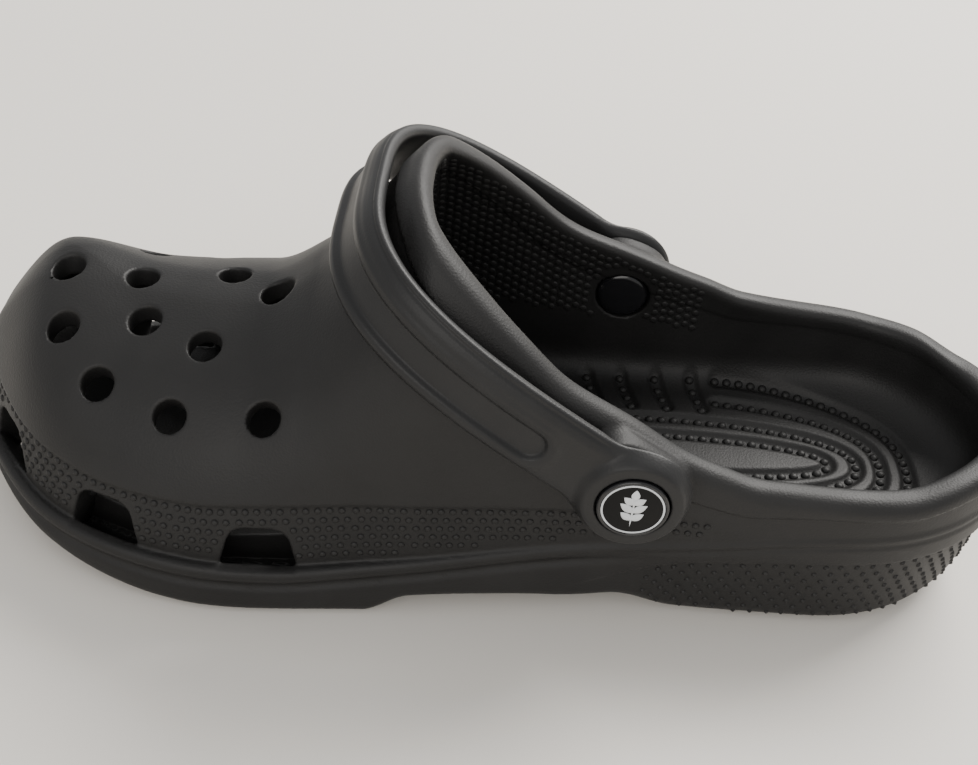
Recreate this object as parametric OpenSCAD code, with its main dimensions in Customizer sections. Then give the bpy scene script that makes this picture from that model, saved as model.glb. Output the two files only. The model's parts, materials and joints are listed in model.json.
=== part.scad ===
// Left rubber garden clog: one moulded foam shell, a swinging heel strap and two snap rivets.
// +X runs from toe to heel, +Y towards the inner (medial) side, +Z up.
// The origin is on the ground under the middle of the clog.

/* [Shell] */
// Length from toe tip to heel
clog_length = 294; // [276:1:302]
// Foam thickness over the vamp and along the side walls
wall = 7; // [5:0.5:8]
// Height of the vamp at the throat, just in front of the opening
throat_height = 113; // [108:1:116]
// Height of the collar at its low point by the heel
collar_height = 48; // [46:1:52]
// Foam thickness under the heel
heel_thickness = 25; // [22:1:28]
// Foam thickness under the ball of the foot
ball_thickness = 15; // [12:1:18]

/* [Vents and drain ports] */
// Diameter of each round vent in the vamp
vent_diameter = 8.5; // [7:0.5:10]
// Height of the drain ports round the toe
port_height = 11.5; // [9:0.5:13]
// Width of a drain port at its foot
port_width = 19.5; // [15:0.5:21]

/* [Heel strap] */
// Reach of the strap from the rivet axis to its outer face
strap_reach = 89.5; // [88.5:0.5:92]
// Width of the band
strap_width = 21; // [18:0.5:22]
// Thickness of the band
strap_thickness = 5; // [4:0.5:5.5]
// Diameter of the round boss at each end of the strap
boss_diameter = 30; // [28:1:31]
// Angle of the strap above level when it lies forward on the vamp
strap_rest_angle = 31; // [30:1:34]

/* [Rivets] */
// Distance of the rivet axis behind the middle of the clog
rivet_x = 37.5; // [36:0.5:40]
// Height of the rivet axis above the ground
rivet_z = 51.5; // [50:0.5:53]
// Distance from the centre plane to the flat seats that the strap turns on
seat_y = 47; // [46:0.5:48]
// Diameter of the rivet cap
cap_diameter = 18; // [16:0.5:19]
// Diameter of the rivet shank
shank_diameter = 7; // [6:0.5:8]
// Diameter of the flat rivet back inside the shell
back_diameter = 15; // [13:0.5:16]
// Radial clearance of a turning shank in its hole
running_clearance = 0.08; // [0.05:0.01:0.1]

/* [Hidden] */

half = clog_length / 2;
drawn_half = 147;        // half length that the lines below are drawn for
foam = "#3a3c3e";
glossy = "#17181a";
disc_grey = "#d8dadb";
round_sides = 64;        // sides of every round part

// Bead line in plan, one row every 20 degrees of the half turn from toe to heel:
// the outer side, then the inner side
bead_plan = [[9, 9], [-13, 32], [-42, 45.5], [-55.4, 52], [-51.5, 50],
             [-44.5, 46], [-43.5, 43.5], [-39.5, 42], [-23, 24.5], [0, 0]];
// Heights along the clog as [x, z]
ground_line = [[-147, 14], [-127, 8.5], [-112, 4.8], [-97, 2.2], [-80, 0.4], [-68, 0], [-28, 0],
               [-14, 5.5], [36, 6], [56, 0], [95, 0], [115, 1.4], [130, 4], [147, 9]];
bead_line = [[-147, 21.5], [-127, 18.5], [-102, 15.7], [-52, 14.7], [-17, 18.7], [48, 29], [98, 36.5],
             [147, 39]];
ridge_line = [[-147, 60], [-120, 67], [-87, 67], [-62, 70], [-42, 82], [-27, 99.5],
              [-14, throat_height], [8, 110], [33, 95], [68, 82], [103, 78], [147, 80]];
collar_line = [[-28, throat_height + 1], [-25, throat_height - 2], [-20, 107], [-14, 101.5], [-5, 94],
               [6.5, 84], [20, 72.5], [38, 63], [51, 56], [61, collar_height + 4], [73, collar_height + 1],
               [110, collar_height + 0.5], [124, collar_height + 2.5], [149, collar_height + 6]];
// How much higher the collar stands on the inner side of the foot
inner_rise = [[-28, 0], [10, 0], [20, 1], [38, 4.5], [51, 7], [61, 7.5], [73, 6.5], [90, 5.5], [110, 4.5],
              [124, 3], [136, 0], [149, 0]];
footbed_line = [[-147, ball_thickness + 9], [-112, ball_thickness + 3], [-72, ball_thickness],
                [-2, ball_thickness + 6], [58, heel_thickness], [147, heel_thickness + 4]];
// How square the arch of each cross-section is, as [x, exponent]
fullness_line = [[-147, 2.4], [-82, 2], [-47, 1.9], [-12, 1.85], [8, 2.3], [33, 2.8], [68, 2.6], [147, 2]];
arch_exponent = 2.2;     // how square the arch is in height
tip_exponent = 8;        // how late the ridge falls away towards toe and heel

station_step = 5;        // degrees of the half turn between two cross-sections
side_steps = 9;          // points up each side of a cross-section
crowding = 0.8;          // moves the points of a side towards its foot, where it curves most
foxing_inset = 3.2;      // how far the sole edge on the ground lies inside the bead line
sole_corner = 5;         // rise of the rounded lower edge of the sole
corner_taper = 0.93;     // width of the sole at the ground against its width above the corner
bed_taper = [0.9, 0.98]; // width of the footbed at its level part and where it meets the wall
bed_rise = 0.5;          // height between those two

// Vents as [x, y]; each leans outwards by a degree per millimetre from the lean axis
vent_lean_y = -6;
vent_places = [[-114, 2], [-94, 0.5], [-70, 3.5], [-111, -16.5], [-90, -14.5], [-73, -22], [-99, -30.5],
               [-79, -38], [-55, -39.5], [-96, 21.5], [-77, 26], [-53, 27], [-57, -6]];
vent_reach = 12;         // how far a vent is cut above and below the outer surface
// Drain ports as turns from the toe tip, made on both sides; the tip has one more
port_turns = [28.5, 49, 68.5];
port_taper = 0.72;       // width of a port at its top against its foot
port_reach = 14;         // how far a port is cut either side of the bead line
bead_lip = 0.5;          // height of a port's sill above the bead line
mouth_front = -28;       // where the opening for the foot begins, straight up from the throat
mouth_step = 5;          // distance between two points of the collar line

seat_radius = boss_diameter / 2 - 1;
seat_depth = wall + 1;
strap_gap = 0.3;         // room between the seat and the strap's boss
boss_thickness = 7.5;
boss_proud = 2;          // how far the boss stands out from the band
cap_sink = 2;            // depth of the recess in the boss that the rivet cap lies in
cap_room = 0.3;          // room round the cap in that recess
cap_gap = 0.2;           // room between the floor of the recess and the cap
cap_thickness = 2.5;
// Rounded rim of the cap: distance in from its edge, part of its thickness
cap_edge = [[0, 0.45], [0.25, 0.8], [0.7, 1]];
recess_radius = cap_diameter / 2 - 1;
recess_depth = 0.8;      // depth of the recess that holds the badge disc
badge_gap = 0.05;        // room round the badge disc
badge_drop = 0.1;        // how far the disc lies below the cap's face
socket_depth = 2;        // how far the shank goes into the rivet back
back_thickness = 3;
back_gap = 0.1;          // room between the seat and the rivet back
recess_clearance = 1;    // room round the rivet back
strap_squareness = 3.2;  // how square the strap's loop is
band_chamfer = 1;
strap_step = 6;          // degrees of the half turn between two sections of the strap

boss_face = seat_y + strap_gap;
boss_outer = boss_face + boss_thickness;
band_outer = boss_outer - boss_proud;
cap_face = boss_outer - cap_sink + cap_gap;
seat_inner = seat_y - seat_depth;

// Smooth curve through [x, value] points, found at x. It never overshoots, so level stretches stay level
function secant(p, i) = (p[i + 1][1] - p[i][1]) / (p[i + 1][0] - p[i][0]);
function slope(p, i) = i == 0 ? secant(p, 0) : i == len(p) - 1 ? secant(p, i - 1)
    : secant(p, i - 1) * secant(p, i) <= 0 ? 0
    : 2 * secant(p, i - 1) * secant(p, i) / (secant(p, i - 1) + secant(p, i));
function segment(p, x, i = 0) = i >= len(p) - 2 || x < p[i + 1][0] ? i : segment(p, x, i + 1);
function along(p, x) = let(
    i = segment(p, x),
    h = p[i + 1][0] - p[i][0],
    t = min(1, max(0, (x - p[i][0]) / h)))
    p[i][1] * (1 + 2 * t) * pow(1 - t, 2) + p[i + 1][1] * t * t * (3 - 2 * t)
    + h * (slope(p, i) * t * pow(1 - t, 2) - slope(p, i + 1) * t * t * (1 - t));

// Bead line in plan at a turn from 0 at the toe to 180 at the heel
function row(i) = i < 0 ? 2 * bead_plan[0] - bead_plan[1]
    : i > 9 ? 2 * bead_plan[9] - bead_plan[8] : bead_plan[i];
function plan_at(turn) = let(
    i = min(8, floor(turn / 20)),
    t = turn / 20 - i,
    a = row(i - 1), b = row(i), c = row(i + 1), d = row(i + 2))
    0.5 * (2 * b + t * (c - a) + t * t * (2 * a - 5 * b + 4 * c - d)
    + t * t * t * (3 * b - a - 3 * c + d));
function x_at(turn) = -half * cos(turn);
function tip(x) = sqrt(max(0, 1 - pow(abs(x) / half, tip_exponent)));
function scaled(line, x) = along(line, x * drawn_half / half);

// One side of a cross-section, from the ground edge over the bead to the ridge
function outer_side(x, centre, edge) = let(
    reach = edge - centre,
    sign_y = reach < 0 ? -1 : 1,
    ground = scaled(ground_line, x),
    bead = scaled(bead_line, x),
    rise = (scaled(ridge_line, x) - bead) * tip(x),
    power = scaled(fullness_line, x),
    foot = abs(reach) * max(0.2, 1 - foxing_inset / max(abs(reach), 1)))
    concat([[centre + sign_y * foot * corner_taper, ground],
            [centre + sign_y * foot, ground + sole_corner],
            [centre + sign_y * (foot + abs(reach)) / 2, (ground + sole_corner + bead) / 2]],
    [for (k = [0:side_steps - 1]) let(across = pow(cos(90 * k / side_steps), crowding))
        [centre + reach * across, bead + rise * pow(1 - pow(across, power), 1 / arch_exponent)]]);
function inner_side(x, centre, edge) = let(
    reach = edge - centre,
    bed = scaled(footbed_line, x),
    bead = scaled(bead_line, x),
    base = max(bed + 1, bead),
    inner_half = half - wall,
    rise = max(1, (scaled(ridge_line, x) - bead) * tip(x * half / inner_half) - wall - (base - bead)),
    power = scaled(fullness_line, x))
    concat([[centre + reach * bed_taper[0], bed], [centre + reach * bed_taper[1], bed + bed_rise]],
    [for (k = [0:side_steps - 1]) let(across = pow(cos(90 * k / side_steps), crowding))
        [centre + reach * across, base + rise * pow(1 - pow(across, power), 1 / arch_exponent)]]);
function ring(x, left, ridge) = concat([for (p = left) [x, p[0], p[1]]], [ridge]);

function outer_ring(turn) = let(
    x = x_at(turn), plan = plan_at(turn), centre = (plan[0] + plan[1]) / 2,
    right = outer_side(x, centre, plan[1]),
    top = scaled(bead_line, x) + (scaled(ridge_line, x) - scaled(bead_line, x)) * tip(x))
    concat(ring(x, outer_side(x, centre, plan[0]), [x, centre, top]),
    [for (k = [len(right) - 1:-1:0]) [x, right[k][0], right[k][1]]]);
function inner_ring(turn) = let(
    plan = plan_at(turn), centre = (plan[0] + plan[1]) / 2,
    x = x_at(turn) * (half - wall) / half,
    lateral = centre + (plan[0] - centre) * max(0.1, 1 - wall / max(abs(plan[0] - centre), 1)),
    medial = centre + (plan[1] - centre) * max(0.1, 1 - wall / max(abs(plan[1] - centre), 1)),
    right = inner_side(x, centre, medial),
    left = inner_side(x, centre, lateral),
    crown = right[len(right) - 1][1] * 1.01)
    concat(ring(x, left, [x, centre, crown]),
    [for (k = [len(right) - 1:-1:0]) [x, right[k][0], right[k][1]]]);

// Solid through a list of rings with the same number of points
module loft(rings) {
    n = len(rings[0]);
    m = len(rings);
    points = [for (r = rings) each r];
    walls = [for (j = [0:m - 2], i = [0:n - 1]) let(i2 = (i + 1) % n)
        each [[j * n + i, j * n + i2, (j + 1) * n + i],
              [j * n + i2, (j + 1) * n + i2, (j + 1) * n + i]]];
    polyhedron(points, concat(walls, [[for (i = [n - 1:-1:0]) i]],
        [[for (i = [0:n - 1]) (m - 1) * n + i]]), convexity = 10);
}

module along_y(y) translate([rivet_x, y, rivet_z]) rotate([90, 0, 0]) children();

// Everything above the collar, on the outer side of the foot (0) and on the inner side (1)
module opening_cut() for (side = [0, 1]) {
    top = 2 * throat_height;
    throat = collar_line[0][1];
    edge = [for (x = [collar_line[1][0]:mouth_step:drawn_half])
        [x, along(collar_line, x) + side * along(inner_rise, x)]];
    last = edge[len(edge) - 1][1];
    translate([0, side * half, 0]) rotate([90, 0, 0])
        linear_extrude(half)
            polygon(concat([[mouth_front, top], [mouth_front, throat]], edge,
                [[2 * half, last], [2 * half, top]]));
}

// Height of the shell's outer surface over a point in plan
function vamp_height(x, y) = let(
    plan = plan_at(acos(-x / half)),
    centre = (plan[0] + plan[1]) / 2,
    across = min(1, abs(y - centre) / (plan[y < centre ? 0 : 1] - centre) * (y < centre ? -1 : 1)),
    bead = scaled(bead_line, x))
    bead + (scaled(ridge_line, x) - bead) * tip(x)
    * pow(1 - pow(across, scaled(fullness_line, x)), 1 / arch_exponent);

module vent(x, y) translate([x, y, vamp_height(x, y)]) rotate([vent_lean_y - y, 0, 0])
    translate([0, 0, -vent_reach]) cylinder(h = 2 * vent_reach, d = vent_diameter, $fn = round_sides);

module vents() for (p = vent_places) vent(p[0], p[1]);

module drain_port(turn, side) {
    here = [x_at(turn), plan_at(turn)[side]];
    ahead = [x_at(turn + 1), plan_at(turn + 1)[side]];
    heading = turn == 0 ? 90 : atan2(ahead[1] - here[1], ahead[0] - here[0]);
    translate([here[0], here[1], scaled(bead_line, here[0]) + bead_lip])
        rotate([0, 0, heading]) rotate([90, 0, 0])
            linear_extrude(2 * port_reach, center = true)
                polygon([[-port_width / 2, 0], [port_width / 2, 0],
                         [port_width / 2 * port_taper, port_height],
                         [-port_width / 2 * port_taper, port_height]]);
}

module drain_ports() {
    for (turn = port_turns, side = [0, 1]) drain_port(turn, side);
    drain_port(0, 0);
}

// Flat seats, inside and out, that the strap and the rivet backs bear on
module rivet_seats() for (side = [-1, 1])
    along_y(side * seat_y) mirror([0, 0, side < 0 ? 1 : 0])
        cylinder(h = seat_depth, r = seat_radius, $fn = round_sides);

module shank_holes(from, to) for (side = [-1, 1])
    along_y(side * to) mirror([0, 0, side < 0 ? 1 : 0])
        cylinder(h = to - from, r = shank_diameter / 2 + running_clearance, $fn = round_sides);

// Room inside the wall for the flat rivet backs
module back_recesses() for (side = [-1, 1])
    along_y(side * seat_inner) mirror([0, 0, side < 0 ? 1 : 0])
        cylinder(h = 2 * back_thickness, d = back_diameter + 2 * recess_clearance, $fn = round_sides);

module clog_shell() color(foam) difference() {
    union() {
        difference() {
            loft([for (turn = [station_step:station_step:180 - station_step]) outer_ring(turn)]);
            loft([for (turn = [station_step:station_step:180 - station_step]) inner_ring(turn)]);
            opening_cut();
        }
        rivet_seats();
    }
    vents();
    drain_ports();
    shank_holes(seat_inner - seat_depth / 2, seat_y + seat_depth / 2);
    back_recesses();
}

// Middle line of the band: distance from the centre plane and reach from the rivet axis
function band_y(turn) = (band_outer - strap_thickness / 2) * sign(sin(turn))
    * pow(abs(sin(turn)), 2 / strap_squareness);
function band_reach(turn) = (strap_reach - strap_thickness / 2)
    * pow(max(0, cos(turn)), 2 / strap_squareness);
function unit(v) = v / norm(v);
function band_ring(turn) = let(
    y = band_y(turn), reach = band_reach(turn),
    out = unit([pow(reach / strap_reach, strap_squareness - 1) / strap_reach,
                sign(y) * pow(abs(y) / band_outer, strap_squareness - 1) / band_outer]),
    a = strap_width / 2, b = strap_thickness / 2, c = band_chamfer)
    [for (p = [[-a, c - b], [-a, b - c], [c - a, b], [a - c, b],
               [a, b - c], [a, c - b], [a - c, -b], [c - a, -b]])
        [-(reach + out[0] * p[1]), y + out[1] * p[1], p[0]]];

module heel_strap() color(foam) translate([rivet_x, 0, rivet_z]) rotate([0, strap_rest_angle, 0])
    difference() {
        union() {
            loft([for (turn = [90:-strap_step:-90]) band_ring(turn)]);
            for (side = [-1, 1]) strap_boss(side);
        }
        for (side = [-1, 1]) {
            strap_bore(side * (boss_face + boss_thickness / 2), shank_diameter / 2 + running_clearance);
            strap_bore(side * (boss_outer - cap_sink + boss_thickness), cap_diameter / 2 + cap_room);
        }
    }

module strap_bore(y, radius) translate([0, y, 0]) rotate([90, 0, 0])
    cylinder(h = 2 * boss_thickness, r = radius, center = true, $fn = round_sides);

module strap_boss(side) translate([0, side * (boss_face + boss_thickness / 2), 0]) rotate([90, 0, 0])
    cylinder(h = boss_thickness, d = boss_diameter, center = true, $fn = round_sides);

// A turned part on the rivet axis, drawn outwards from the centre plane
module on_axis(side) translate([rivet_x, 0, rivet_z]) rotate([-90 * side, 0, 0]) children();

module rivet_cap(side) color(glossy) on_axis(side) difference() {
    rotate_extrude($fn = round_sides) {
        shank_end = seat_inner - back_gap - socket_depth;
        polygon(concat([[0, shank_end], [shank_diameter / 2, shank_end], [shank_diameter / 2, cap_face],
                        [cap_diameter / 2, cap_face]],
            [for (e = cap_edge) [cap_diameter / 2 - e[0], cap_face + cap_thickness * e[1]]],
            [[0, cap_face + cap_thickness]]));
    }
    translate([0, 0, cap_face + cap_thickness - recess_depth])
        cylinder(h = 2 * recess_depth, r = recess_radius, $fn = round_sides);
}

module rivet_back(side) color(glossy) on_axis(side) difference() {
    translate([0, 0, seat_inner - back_gap - back_thickness])
        cylinder(h = back_thickness, d = back_diameter, $fn = round_sides);
    translate([0, 0, seat_inner - back_gap - socket_depth])
        cylinder(h = back_thickness, d = shank_diameter, $fn = round_sides);
}

module badge_disc(side) color(disc_grey) on_axis(side)
    translate([0, 0, cap_face + cap_thickness - recess_depth])
        cylinder(h = recess_depth - badge_drop, r = recess_radius - badge_gap, $fn = round_sides);

clog_shell();
heel_strap();
rivet_cap(-1);  // rivet_cap_lateral
rivet_cap(1);  // rivet_cap_medial
rivet_back(-1);  // rivet_back_lateral
rivet_back(1);  // rivet_back_medial
badge_disc(-1);  // badge_disc_lateral
badge_disc(1);  // badge_disc_medial
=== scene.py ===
import json
import math

import bpy
import numpy as np
from mathutils import Matrix, Vector


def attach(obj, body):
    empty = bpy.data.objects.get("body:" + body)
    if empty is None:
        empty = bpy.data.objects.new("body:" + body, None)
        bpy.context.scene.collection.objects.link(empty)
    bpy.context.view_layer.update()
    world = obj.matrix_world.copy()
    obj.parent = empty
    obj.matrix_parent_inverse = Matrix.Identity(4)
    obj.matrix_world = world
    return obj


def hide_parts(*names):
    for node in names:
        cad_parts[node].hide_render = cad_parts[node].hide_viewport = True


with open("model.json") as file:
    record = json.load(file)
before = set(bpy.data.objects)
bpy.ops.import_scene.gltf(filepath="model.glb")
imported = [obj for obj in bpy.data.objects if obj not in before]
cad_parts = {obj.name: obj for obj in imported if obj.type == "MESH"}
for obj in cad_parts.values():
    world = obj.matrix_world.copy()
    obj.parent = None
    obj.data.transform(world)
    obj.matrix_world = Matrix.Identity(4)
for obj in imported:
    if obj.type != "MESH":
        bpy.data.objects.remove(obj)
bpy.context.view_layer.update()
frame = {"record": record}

# Shapes are worked out in millimetres, in the CAD frame, and scaled to metres when they become meshes.
MM = 0.001

# ---------------------------------------------------------------- sizes
# As in part.scad, unless a note says otherwise. Faces are distances from the centre plane, on either side.
HALF = 147.0            # half the length
RIVET_X, RIVET_Z = (v / MM for v in np.array(frame["record"]["behaviour"]["joints"][0]["pos_m"])[[0, 2]])
SEAT_Y = 47.0           # outer face of the pads that the bosses turn on
SEAT_RADIUS = 14.0
SEAT_DEPTH = 8.0
BOSS_OUTER = 54.8       # outer face of the strap's bosses
BOSS_RADIUS = 15.0
BOSS_PROUD = 2.0        # how far the boss stands out from the band
STRAP_REACH = 89.5      # from the rivet axis to the far face of the band
STRAP_WIDTH = 21.0
STRAP_THICKNESS = 5.0
STRAP_SQUARENESS = 3.2  # how square the strap's loop is
STRAP_REST = math.radians(31.0)
CAP_RADIUS = 9.0
CAP_FACE = 53.0         # underside of the cap's head
CAP_THICKNESS = 2.5
CAP_SINK = 2.0          # depth of the recess in the boss that the cap lies in
CAP_ROOM = 0.3          # room round the cap in that recess
SHANK_RADIUS = 3.5
SHANK_END = 36.9        # inner end of the shank, in the rivet back
BACK_RADIUS = 7.5
BACK_FACE, BACK_SEAT = 35.9, 38.9       # inner face of the rivet back, and its face on the shell
BADGE_DEPTH = 0.8       # depth of the recess in the cap that the badge lies in
# Sizes that differ from those in part.scad, or that it has no use for
WALL = 5.2
BAND_PROUD = 1.2        # how far the band round the opening stands out from the wall, inside and out
RUNNING_GAP = 0.1       # room between a hole and the shank in it
BACK_ROOM = 0.4         # room round the rivet back in its recess
BADGE_RADIUS = 7.9
BADGE_FACE = 55.3
BADGE_THICKNESS = 0.6
RING_INNER, RING_OUTER = 7.3, 7.85
PRINT_FOOT, PRINT_TOP = -0.05, 0.06     # foot and top of the print's edges, from the badge's face
# Lugs of the tread, which the CAD leaves out
LUG_HEIGHT = 1.3
LUG_WIDTH = 7.2
LUG_PITCH_X, LUG_PITCH_Y = 7.8, 9.0
# Vents as (x, y), as in part.scad; each leans outwards by a degree per millimetre from the lean axis
VENT_LEAN_Y = -6.0
VENT_PLACES = [(-114, 2), (-94, 0.5), (-70, 3.5), (-111, -16.5), (-90, -14.5), (-73, -22), (-99, -30.5),
               (-79, -38), (-55, -39.5), (-96, 21.5), (-77, 26), (-53, 27), (-57, -6)]
VENT_RADIUS = 4.25
PORT_TURNS = (28.5, 49, 68.5)
PORT_WIDTH, PORT_HEIGHT, PORT_TAPER = 19.5, 11.5, 0.72
SILL_DEPTH = 3.4        # width of a port's lip, before its sill falls away; only here
# Footbed channels, which the CAD leaves out: nested loops round the heel, as half width, heel end, front end
# and where each starts to close, and short slanted bars; both lie either side of one line along the footbed
BED_MIDDLE_Y = -0.5
BED_LOOPS = [(33.0, 122, 69, 55), (25.0, 114.5, 69, 50), (15.6, 107.7, 28, 45), (8.2, 99.5, 36, 45)]
BED_SQUARENESS = 2.4
BED_BARS = (32.5, 42.5, 53, 63.5)
BAR_Y, BAR_REACH, BAR_SLANT = 27.0, 6, 1.6
NUB_PITCH = 3.5

# Bead line in plan, a row every so many degrees of the half turn from toe to heel: outer side, inner side
PLAN_TURN = 20
BEAD_PLAN = np.array([[9, 9], [-13, 32], [-42, 45.5], [-55.4, 52], [-51.5, 50],
                      [-44.5, 46], [-43.5, 43.5], [-39.5, 42], [-23, 24.5], [0, 0]], float)
LAST_ROW = len(BEAD_PLAN) - 1
# Lines along the clog as [x, value]
GROUND = [[-147, 14], [-127, 8.5], [-112, 4.8], [-97, 2.2], [-80, 0.4], [-68, 0], [-27, 0], [-15, 5.5],
          [-2, 6], [38, 6], [58, 0], [95, 0], [115, 1.4], [130, 4], [147, 9]]
BEAD = [[-147, 21.5], [-127, 18.5], [-102, 15.7], [-52, 14.7], [-17, 18.7], [48, 29], [98, 36.5], [147, 39]]
# Amplitude of the dome over the bead line; behind the throat it only shapes the side walls
RIDGE = [[-147, 36], [-134, 59.5], [-117, 71], [-92, 66.5], [-62, 68], [-47, 77.5], [-32, 96.6],
         [-24, 106.3], [-16, 114.5], [8, 110], [33, 95], [68, 82], [103, 80], [147, 84]]
DOME_REACH = [[-147, 41.5], [-82, 53], [-12, 50], [28, 43], [147, 38]]
FULLNESS = [[-147, 2.7], [-82, 1.6], [-47, 1.85], [-27, 2.1], [-10, 2.65], [8, 3.0], [33, 3.1], [68, 2.9],
            [147, 2.4]]
ARCH = 2.2
COLLAR = [[-30, 116], [-27, 112.5], [-21, 107.5], [-14, 101.5], [-5, 94], [6.5, 84], [20, 72.5], [38, 63],
          [51, 56], [61, 52.5], [73, 49.5], [110, 48.5], [124, 50.5], [149, 54]]
# How much higher the collar stands on the inner side of the foot
INNER_RISE = [[-147, 0], [-28, 0], [10, 0], [20, 1], [38, 4.5], [51, 7], [61, 7.5], [73, 6.5], [90, 5.5],
              [110, 4.5], [124, 3], [136, 0], [149, 0]]
FOOTBED = [[-147, 24], [-112, 18], [-72, 15], [-2, 21], [58, 25], [147, 29]]
# Top row of the dotted rand round the toe
RAND_TOP = [[-147, 37.5], [-122, 33.5], [-92, 30], [-72, 30.3], [-52, 32], [-17, 35.5], [18, 36], [62, 37]]
RAND_INSET = [[-147, 3.4], [-42, 3.2], [-12, 2.2], [38, 1.2], [68, 0.7], [147, 0.7]]
# Upper edge of the recessed, dotted lower wall round the heel
HEEL_BAND = [[28, 12], [60, 24], [98, 27], [147, 29]]
# Width of the raised band round the opening
COLLAR_BAND = [[-22, 8.5], [23, 10.5], [58, 9], [93, 5.5], [147, 5]]


def along(points, x):
    """Smooth curve through [x, value] points that never overshoots."""
    p = np.array(points, float)
    h = np.diff(p[:, 0])
    secant = np.diff(p[:, 1]) / h
    slope = np.empty(len(p))
    slope[0], slope[-1] = secant[0], secant[-1]
    product = secant[:-1] * secant[1:]
    total = secant[:-1] + secant[1:]
    slope[1:-1] = np.where(product > 0, 2 * product / np.where(total == 0, 1, total), 0)
    i = np.clip(np.searchsorted(p[:, 0], x, side="right") - 1, 0, len(h) - 1)
    t = np.clip((x - p[i, 0]) / h[i], 0, 1)
    return (p[i, 1] * (1 + 2 * t) * (1 - t) ** 2 + p[i + 1, 1] * t * t * (3 - 2 * t)
            + h[i] * (slope[i] * t * (1 - t) ** 2 - slope[i + 1] * t * t * (1 - t)))


class Line:
    """A curve along the clog, tabulated once so that millions of points can read it quickly."""
    X = np.linspace(-160, 160, 1281)

    def __init__(self, points):
        self.y = along(points, self.X)
        self.dy = np.gradient(self.y, self.X)

    def __call__(self, x):
        return np.interp(x, self.X, self.y)

    def slope(self, x):
        return np.interp(x, self.X, self.dy)


ground, bead, ridge, reach, fullness = map(Line, (GROUND, BEAD, RIDGE, DOME_REACH, FULLNESS))
footbed, rand_top, rand_inset = map(Line, (FOOTBED, RAND_TOP, RAND_INSET))
heel_band, band_width, inner_rise = map(Line, (HEEL_BAND, COLLAR_BAND, INNER_RISE))


def plan_row(i):
    """A row of the bead line in plan, carried on by one row past each end."""
    if i < 0:
        return 2 * BEAD_PLAN[0] - BEAD_PLAN[1]
    if i > LAST_ROW:
        return 2 * BEAD_PLAN[LAST_ROW] - BEAD_PLAN[LAST_ROW - 1]
    return BEAD_PLAN[i]


def plan_at(turn):
    """Outer and inner side of the bead line at a turn in degrees from the toe."""
    i = min(LAST_ROW - 1, int(turn // PLAN_TURN))
    t = turn / PLAN_TURN - i
    a, b, c, d = (plan_row(k) for k in (i - 1, i, i + 1, i + 2))
    return 0.5 * (2 * b + t * (c - a) + t * t * (2 * a - 5 * b + 4 * c - d)
                  + t ** 3 * (3 * b - a - 3 * c + d))


def bead_outline(step=0.5):
    """The bead line in plan as a closed loop with evenly spaced points, outer side first."""
    turns = np.linspace(0, 180, 361)
    x = -HALF * np.cos(np.radians(turns))
    y = np.array([plan_at(t) for t in turns])
    loop = np.vstack([np.c_[x, y[:, 0]], np.c_[x, y[:, 1]][-2:0:-1]])
    return resample(loop, step)


def resample(loop, step, closed=True):
    """The same line with evenly spaced points."""
    p = np.vstack([loop, loop[:1]]) if closed else loop
    s = np.r_[0, np.cumsum(np.linalg.norm(np.diff(p, axis=0), axis=1))]
    n = max(4, int(round(s[-1] / step)))
    t = np.linspace(0, s[-1], n, endpoint=not closed)
    return np.c_[[np.interp(t, s, p[:, k]) for k in range(p.shape[1])]].T


class Field2D:
    """A function of two coordinates on a fine grid, read by linear interpolation."""

    def __init__(self, lo, hi, step, function):
        self.lo, self.step = np.array(lo, float), step
        self.n = np.ceil((np.array(hi) - lo) / step).astype(int) + 1
        gx, gy = np.meshgrid(lo[0] + step * np.arange(self.n[0]), lo[1] + step * np.arange(self.n[1]),
                             indexing="ij")
        self.values = [np.ascontiguousarray(v.reshape(gx.shape)) for v in function(gx.ravel(), gy.ravel())]

    def __call__(self, x, y, which=0):
        u = np.clip((x - self.lo[0]) / self.step, 0, self.n[0] - 1.001)
        v = np.clip((y - self.lo[1]) / self.step, 0, self.n[1] - 1.001)
        i, j = u.astype(int), v.astype(int)
        u, v = u - i, v - j
        g = self.values[which]
        return (g[i, j] * (1 - u) * (1 - v) + g[i + 1, j] * u * (1 - v)
                + g[i, j + 1] * (1 - u) * v + g[i + 1, j + 1] * u * v)


def nearest_on(poly, x, y, closed=True):
    """Distance to a polyline, and the signed cross product and length along it at the nearest point."""
    a = poly
    b = np.roll(poly, -1, axis=0) if closed else poly[1:]
    a = a if closed else poly[:-1]
    ab = b - a
    length = np.hypot(*ab.T)
    start = np.r_[0, np.cumsum(length)[:-1]]
    dist, side, s = (np.empty(len(x)) for _ in range(3))
    for k in range(0, len(x), 4000):
        px, py = x[k:k + 4000, None] - a[None, :, 0], y[k:k + 4000, None] - a[None, :, 1]
        t = np.clip((px * ab[:, 0] + py * ab[:, 1]) / length ** 2, 0, 1)
        d = np.hypot(px - t * ab[:, 0], py - t * ab[:, 1])
        m = d.argmin(axis=1)
        rows = np.arange(len(m))
        dist[k:k + 4000] = d[rows, m]
        side[k:k + 4000] = ab[m, 0] * py[rows, m] - ab[m, 1] * px[rows, m]
        s[k:k + 4000] = start[m] + t[rows, m] * length[m]
    return dist, side, s


# ---------------------------------------------------------------- smooth solid modelling
def smax(a, b, k):
    """Intersection with a rounded edge of radius about k."""
    h = np.clip(0.5 - 0.5 * (b - a) / k, 0, 1)
    return b * (1 - h) + a * h + k * h * (1 - h)


def smin(a, b, k):
    """Union with a fillet of radius about k."""
    return -smax(-a, -b, k)


def ease(x, a, b):
    """0 at a, 1 at b, smooth between."""
    t = np.clip((x - a) / (b - a), 0, 1)
    return t * t * (3 - 2 * t)


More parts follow.
